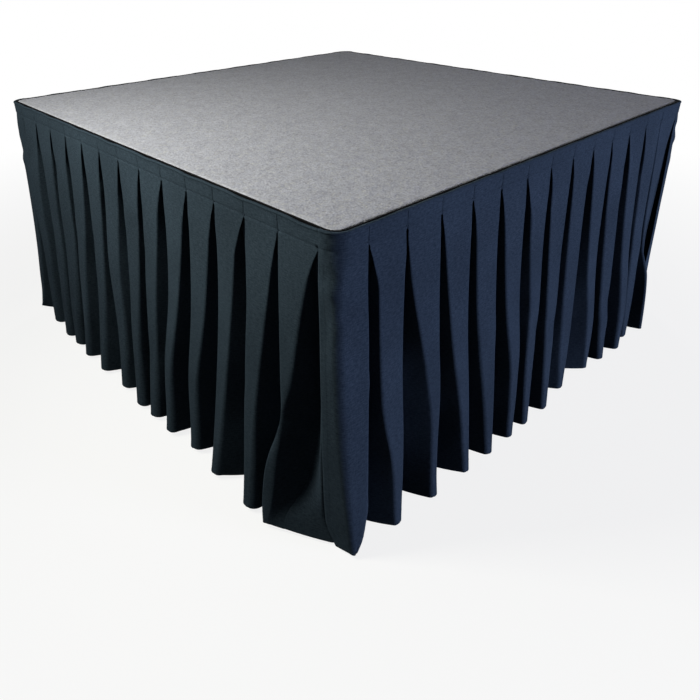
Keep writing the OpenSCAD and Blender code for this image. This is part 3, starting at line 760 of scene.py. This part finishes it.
def line_lengths(line):
    return np.concatenate([[0], np.cumsum(np.linalg.norm(np.diff(line, axis=0), axis=1))])


CORNER_L = PITCH / 2 + HALF_L
REGULAR_L = 2 * HALF_L * (PLEATS - 2)
LAST_L = 2 * HALF_L + 0.030


def section_row(t, crests, shifts):
    """One level of a section: points in its frame and cloth lengths from its free edge."""
    corner = corner_row(t)
    last = last_row(t)
    first = (corner[-1, 0] + FACE_START, -corner[-1, 1])
    end = (last[0, 0] + FACE_START, -last[0, 1])
    middle, lengths = pleat_row(t, crests, shifts, first, end)
    corner_l = line_lengths(corner)
    last_l = line_lengths(last)
    lengths = np.concatenate([
        corner_l / corner_l[-1] * CORNER_L, CORNER_L + lengths,
        CORNER_L + REGULAR_L + last_l[1:] / last_l[-1] * LAST_L])
    return np.concatenate([corner, middle, last[1:]]), lengths


# Shares of the drop from the header's seam to the hem that get a row, close together at both ends
CLOTH_ROWS = (0.006, 0.014, 0.024, 0.036, 0.050, *np.linspace(0.060, 0.25, 28),
              *np.linspace(0.27, 0.958, 34), 0.974, 0.988, 0.996, 1.0)


def inward_of(rows):
    """Unit normals of cloth rows, towards the deck on an outer layer."""
    along = np.gradient(rows, axis=-2)
    inward = np.stack([-along[..., 1], along[..., 0]], -1)
    return inward / np.maximum(np.linalg.norm(inward, axis=-1, keepdims=True), 1e-9)


def layer_offset(points):
    """How far points of the sewn header stand off the platform's face."""
    near_x = np.clip(points[:, 0], CORNER_R, SIDE - CORNER_R)
    near_y = np.maximum(points[:, 1], CORNER_R)
    return np.hypot(points[:, 0] - near_x, points[:, 1] - near_y) - CORNER_R


# Stitched seams of the header with their grooves' depth, and the levels that draw them
HEADER_SEAMS = ((HEADER_TOP - 0.0085, 0.0003), (HEADER_BOTTOM + 0.0035, 0.0010))
SEAM_HALF = 0.0018
TUCK_DEPTH = 0.0010
TUCK_WIDE = 0.006
TUCK_TALL = 0.009
TUCK_Z = HEADER_BOTTOM + 0.008
HEADER_ROWS = (HEADER_TOP, 0.6043, 0.6015, 0.6000, 0.5985, 0.5950, 0.5905, 0.5865, 0.5842, 0.5822,
               0.5805, 0.5788, HEADER_BOTTOM)

# Soft dents in the cloth, and those of the corner pleat by cloth length, drop, width, height, depth and lean
DENTS = 70
CORNER_DENTS = [(0.026, 0.066, 0.014, 0.013, 0.0026, -0.5), (0.020, 0.092, 0.013, 0.013, -0.0020, -0.6),
                (0.038, 0.110, 0.016, 0.013, 0.0022, 0.2), (0.056, 0.130, 0.022, 0.011, 0.0032, 0.1),
                (0.050, 0.154, 0.022, 0.013, -0.0018, 0.1)]

# Rows of the turned-up hem: share of its height, distance behind the cloth and rise
HEM_TURN = ((0.0, 0.0009, -0.0007), (0.0, 0.0018, 0.0006), (0.25, 0.0019, 0.0), (0.6, 0.0019, 0.0),
            (1.0, 0.0019, 0.0))
HEM_BODY_ROWS = 14
SIDE_HEM_GAP = 0.0016


def header_wave(index, u):
    """Unevenness of the header's top edge along a section, which sits higher and straighter in front."""
    gain, rise = (0.5, 0.0009) if index == 0 else (1.0, 0.0)
    return rise + gain * (0.0007 * np.sin(u * 41.0) + 0.0005 * np.sin(u * 83.0 + 1.3))


def sewn_rows(index, flat):
    """Rows of the flat header with the grooves of its seams and a tuck over each slit, and their heights."""
    front = layer_offset(flat) > LAYER_FRONT - 0.0004
    inward = inward_of(flat)
    flat_u = flat[:, 0] + FACE_START
    from_slit = np.abs((flat_u / PITCH + 0.5) % 1 - 0.5) * PITCH
    tuck = TUCK_DEPTH * np.exp(-((from_slit / TUCK_WIDE) ** 2))
    rows, heights = [], []
    for z in HEADER_ROWS:
        groove = sum(deep * math.exp(-((z - seam) / SEAM_HALF) ** 2) for seam, deep in HEADER_SEAMS)
        groove = groove + tuck * math.exp(-((z - TUCK_Z) / TUCK_TALL) ** 2)
        rows.append(flat + inward * (front * groove)[:, None])
        heights.append(z + header_wave(index, flat_u) * smooth_step(0.595, HEADER_TOP, z))
    return rows, heights


def draped_rows(index, rng):
    """Rows of a section from its top edge to its hem: points, heights, drops and cloth lengths."""
    crests, shifts = plan_pleats(index, rng)
    drop = HEADER_BOTTOM - HEM_Z
    flat, flat_l = section_row(0.0, crests, shifts)
    hung, _ = section_row(1.0, crests, shifts)
    lift = np.clip(((hung - flat) ** 2).sum(1) / (2 * drop), 0, HEM_LIFT)
    rows, heights = sewn_rows(index, flat)
    drops = [HEADER_TOP - z for z in HEADER_ROWS]
    lengths = [flat_l] * len(HEADER_ROWS)
    for t in CLOTH_ROWS:
        here, here_l = section_row(t, crests, shifts)
        rows.append(here)
        heights.append(HEADER_BOTTOM - (drop - lift) * t)
        drops.append(HEADER_TOP - HEADER_BOTTOM + drop * t)
        lengths.append(here_l)
    return [np.array(part) for part in (rows, heights, drops, lengths)]


def dented(rows, drops, lengths, inward, rng):
    """Rows with soft dents and pulls along the cloth's own normal."""
    marks = [(rng.uniform(0, lengths.max()), rng.uniform(0.10, 0.56), rng.uniform(0.012, 0.03),
              rng.uniform(0.02, 0.07), rng.uniform(-0.0032, 0.0032), rng.uniform(-0.5, 0.5))
             for _ in range(DENTS)]
    dent = np.zeros(lengths.shape)
    for s0, d0, wide, tall, deep, lean in marks + CORNER_DENTS:
        a = (lengths - s0 + lean * (drops[:, None] - d0)) / wide
        b = (drops[:, None] - d0) / tall
        dent += deep * np.exp(-a * a - b * b)
    return rows + inward * (dent * smooth_step(0.04, 0.06, drops)[:, None])[..., None]


def turn_up_hem(rows, heights, drops, lengths, inward):
    """The same with the rows of the hem added, turned up behind the cloth's lower edge."""
    columns = np.arange(rows.shape[1])
    first = len(heights) - HEM_BODY_ROWS
    hem_rows, hem_heights, hem_drops = [], [], []
    for share, back, rise in HEM_TURN:
        target = heights[-1] + HEM_FOLD * share
        near = np.array([np.interp(-target[c], -heights[first:, c], np.arange(first, len(heights)))
                         for c in columns])
        low = np.clip(np.floor(near).astype(int), 0, len(heights) - 2)
        part = (near - low)[:, None]
        place = rows[low, columns] * (1 - part) + rows[low + 1, columns] * part
        facing = inward[low, columns] * (1 - part) + inward[low + 1, columns] * part
        hem_rows.append(place + facing * back)
        hem_heights.append(target + rise)
        hem_drops.append(drops[-1] + 0.002 + HEM_FOLD * share)
    count = len(HEM_TURN)
    hem = (hem_rows, hem_heights, hem_drops, [lengths[-1]] * count, [inward[-1]] * count)
    return [np.concatenate(pair) for pair in zip((rows, heights, drops, lengths, inward), hem)]


def hang_section(index, finish):
    """One skirt section as a continuous cloth from the header's top edge to its turned-up hem."""
    rng = np.random.default_rng(40 + index)
    rows, heights, drops, lengths = draped_rows(index, rng)
    inward = inward_of(rows)
    rows = dented(rows, drops, lengths, inward, rng)
    rows, heights, drops, lengths, inward = turn_up_hem(rows, heights, drops, lengths, inward)
    # Turned-in side hem behind the section's first edge
    lead = [2, 1]
    behind = rows[:, lead] + inward[:, lead] * SIDE_HEM_GAP
    turn = rows[:, :1] + inward[:, :1] * SIDE_HEM_GAP / 2 + (rows[:, :1] - rows[:, 1:2]) * 0.1
    points = np.concatenate([behind, turn, rows], 1)
    levels = np.concatenate([heights[:, lead], heights[:, :1], heights], 1)
    cloth_u = np.concatenate([-lengths[:, lead], np.full((len(rows), 1), -0.001), lengths], 1)
    points = np.concatenate([points, levels[..., None]], -1)
    places = np.stack(np.broadcast_arrays(cloth_u, drops[:, None]), -1).reshape(-1, 2)
    faces = grid_faces(*levels.shape)
    piece = cloth_piece(index, "cloth", points.reshape(-1, 3), faces, finish, places)
    thicken(piece, 2 * CLOTH_HALF)
    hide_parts(SECTIONS[index] + "_skirt", SECTIONS[index] + "_header")
    return piece, rows, heights, lengths, inward


def cloth_piece(index, kind, points, faces, finish, places):
    """Piece of a section with a cloth map in metres, from one place for each point."""
    piece = new_piece(SECTIONS[index] + "_skirt_" + kind, on_side(index, points), faces, finish)
    layer = piece.data.uv_layers.new(name="cloth")
    corner = np.zeros(len(piece.data.loops), int)
    piece.data.loops.foreach_get("vertex_index", corner)
    layer.data.foreach_set("uv", places[corner].astype(np.float32).ravel())
    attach(piece, "platform")
    return piece


def on_side(index, points):
    """Points of a section's own frame, placed on side 0 front, 1 right, 2 back or 3 left."""
    angle = index * math.pi / 2
    corner_x = -SIDE / 2 if index in (0, 3) else SIDE / 2
    corner_y = -SIDE / 2 if index < 2 else SIDE / 2
    c, s = round(math.cos(angle)), round(math.sin(angle))
    x = c * points[:, 0] - s * points[:, 1] + corner_x
    y = s * points[:, 0] + c * points[:, 1] + corner_y
    return np.stack([x, y, points[:, 2]], -1)


def raised(plan, z):
    """Points of a plan with a height for all or for each."""
    return np.column_stack([plan, np.broadcast_to(z, len(plan))])


# Sewn details of the skirt

# Stitches: length, spacing, half width, distance from the side and hem edges, points of a header seam
STITCH_L = 0.0031
STITCH_STEP = 0.0042
STITCH_HALF = 0.00032
SIDE_SEAM = 0.0115
HEM_SEAM = 0.021
SEAM_POINTS = 900

# Rings of a stitch: share of its length, rise and thickness in half widths
STITCH_RINGS = ((0.0, -0.9, 0.35), (0.25, 0.25, 1.0), (0.5, 0.5, 1.0), (0.75, 0.25, 1.0), (1.0, -0.9, 0.35))
RING_SIDES = 5


def stitch_line(line, outward):
    """Points and faces of a row of thread stitches along a line, each a short loop that dips at its ends."""
    reach = line_lengths(line)

    def at_length(values, at):
        return np.stack([np.interp(at, reach, values[:, k]) for k in range(3)], -1)

    count = int(reach[-1] / STITCH_STEP)
    starts = (np.arange(count) + 0.5) * (reach[-1] / count) - STITCH_L / 2
    points, faces = [], []
    for share, rise, thick in STITCH_RINGS:
        at = np.clip(starts + STITCH_L * share, 0, reach[-1])
        middle = at_length(line, at)
        out = at_length(outward, at)
        across = np.cross(at_length(line, at + 0.001) - at_length(line, at - 0.001), out)
        across /= np.maximum(np.linalg.norm(across, axis=1, keepdims=True), 1e-9)
        for angle in np.arange(RING_SIDES) * 2 * math.pi / RING_SIDES:
            offset = across * math.cos(angle) + out * (math.sin(angle) * 0.8)
            points.append(middle + out * rise * STITCH_HALF + offset * STITCH_HALF * thick)
    points = np.stack(points, 1)
    last = (len(STITCH_RINGS) - 1) * RING_SIDES
    for first in range(0, count * len(STITCH_RINGS) * RING_SIDES, len(STITCH_RINGS) * RING_SIDES):
        for low in range(first, first + last, RING_SIDES):
            for a in range(RING_SIDES):
                b = (a + 1) % RING_SIDES
                faces.append((low + a, low + b, low + RING_SIDES + b, low + RING_SIDES + a))
        faces.append(tuple(first + a for a in reversed(range(RING_SIDES))))
        faces.append(tuple(first + last + a for a in range(RING_SIDES)))
    return points.reshape(-1, 3), faces


def sew_section(index, rows, heights, lengths, inward, finish):
    """Stitches of a section: two rows on the header, the side hem and the bottom hem."""
    points, faces = [], []

    def add(line, out):
        made, quads = stitch_line(line, raised(out, 0.0))
        start = sum(len(part) for part in points)
        points.append(made)
        faces.extend(tuple(v + start for v in quad) for quad in quads)

    u = np.linspace(EDGE_IN + 0.004, PATH_L + EDGE_IN - 0.004, SEAM_POINTS)
    for z, deep in HEADER_SEAMS:
        lift = LAYER_FRONT + CLOTH_HALF - deep
        line = path_point(u, lift)
        out = line - path_point(u, lift - 0.01)
        add(raised(line, z), out / 0.01)
    hem_row = len(heights) - len(HEM_TURN) - 1
    side = []
    for r in range(len(HEADER_ROWS), hem_row + 1):
        c = int(np.searchsorted(lengths[r], SIDE_SEAM))
        part = (SIDE_SEAM - lengths[r, c - 1]) / (lengths[r, c] - lengths[r, c - 1])
        place = rows[r, c - 1] * (1 - part) + rows[r, c] * part
        z = heights[r, c - 1] * (1 - part) + heights[r, c] * part
        side.append((*(place - inward[r, c] * CLOTH_HALF), z, *(-inward[r, c])))
    side = np.array(side)
    add(side[:, :3], side[:, 3:])
    near = np.argmin(np.abs(heights[:hem_row + 1] - heights[hem_row] - HEM_SEAM), axis=0)
    columns = np.arange(rows.shape[1])
    place = rows[near, columns] - inward[near, columns] * CLOTH_HALF
    add(raised(place, heights[near, columns]), -inward[near, columns])
    points = np.concatenate(points)
    return cloth_piece(index, "stitching", points, faces, finish, points[:, [0, 2]])


# Binding over the header's top edge: its section's distance off the face and height above that edge
BINDING = ((0.0016, -0.0045), (0.0016, -0.0005), (0.0022, 0.0003), (0.0042, 0.0005), (0.0064, 0.0003),
           (0.0070, -0.0006), (0.0069, -0.0018), (0.0066, -0.0030))
BINDING_POINTS = 420
BINDING_THICK = 0.0006


def bind_header(index, finish):
    """Folded binding over the top edge of a section's header."""
    u = np.linspace(EDGE_IN, PATH_L + EDGE_IN - 0.0005, BINDING_POINTS)
    points, places = [], []
    for k, (n, z) in enumerate(BINDING):
        points.append(raised(path_point(u, n), HEADER_TOP + z + header_wave(index, u)))
        places.append(np.stack([u, np.full_like(u, k * 0.0024)], 1))
    faces = grid_faces(len(BINDING), len(u))
    piece = cloth_piece(index, "binding", np.concatenate(points), faces, finish, np.concatenate(places))
    thicken(piece, BINDING_THICK)
    return piece


# Carpet

# Carpet's points along a side, its inset from the trim's corner, and its rolled edge, nubs and waves
CARPET_COUNT = 280
CARPET_INSET = 0.0042
ROLL_DROP = 0.0016
ROLL_WIDE = 0.007
NUB = 0.00030
WAVE = 0.0008


def lay_carpet(finish):
    """Loop-pile carpet: a nubbed top with rolled edges, and a backing on the deck."""
    low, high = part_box("carpet")
    rng = np.random.default_rng(7)
    half = (high.x - low.x) / 2
    straight = half - (CORNER_R - CARPET_INSET)
    count = CARPET_COUNT
    line = np.linspace(-half, half, count)
    square = np.stack(np.meshgrid(line, line), -1)
    over = np.clip(np.abs(square) - straight, 0, None)
    far = np.hypot(over[..., 0], over[..., 1])
    pull = np.where(far > 0, over.max(-1) / np.maximum(far, 1e-9), 1.0)
    place = np.sign(square) * (np.minimum(np.abs(square), straight) + over * pull[..., None])
    edge = half - np.abs(square).max(-1)
    roll = ROLL_DROP * (1 - smooth_step(0.0, ROLL_WIDE, edge)) ** 1.5
    nubs = rng.normal(0, 1, (count, count))
    slow = rng.normal(0, 1, (count, count))
    for _ in range(3):
        beside = [np.roll(slow, step, axis) for axis in (0, 1) for step in (1, -1)]
        slow = sum(beside, slow) / 5
    top = high.z - 0.0004 + NUB * np.clip(nubs, -2, 2) + WAVE * slow - roll
    points = raised(place.reshape(-1, 2), top.ravel())
    faces = [tuple(reversed(f)) for f in grid_faces(count, count)]
    grid = np.arange(count * count).reshape(count, count)
    rim = np.concatenate([grid[0], grid[1:, -1], grid[-1, -2::-1], grid[-2:0:-1, 0]]).tolist()
    start = len(points)
    backing = points[rim].copy()
    backing[:, 2] = low.z + 0.0003
    points = np.concatenate([points, backing])
    for k in range(len(rim)):
        j = (k + 1) % len(rim)
        faces.append((rim[j], rim[k], start + k, start + j))
    faces.append(tuple(range(start + len(rim) - 1, start - 1, -1)))
    piece = new_piece("carpet_pile", points, faces, finish)
    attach(piece, "platform")
    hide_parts("carpet")


bpy.context.scene.view_settings.view_transform = "Standard"
place_camera()
set_stage()
FINISHES = make_finishes()
dress_nodes(FINISHES)
lay_carpet(FINISHES["carpet"])
for side_index in range(4):
    skirt, *drape = hang_section(side_index, FINISHES["skirt"])
    stitching = sew_section(side_index, *drape, FINISHES["thread"])
    binding = bind_header(side_index, FINISHES["skirt"])
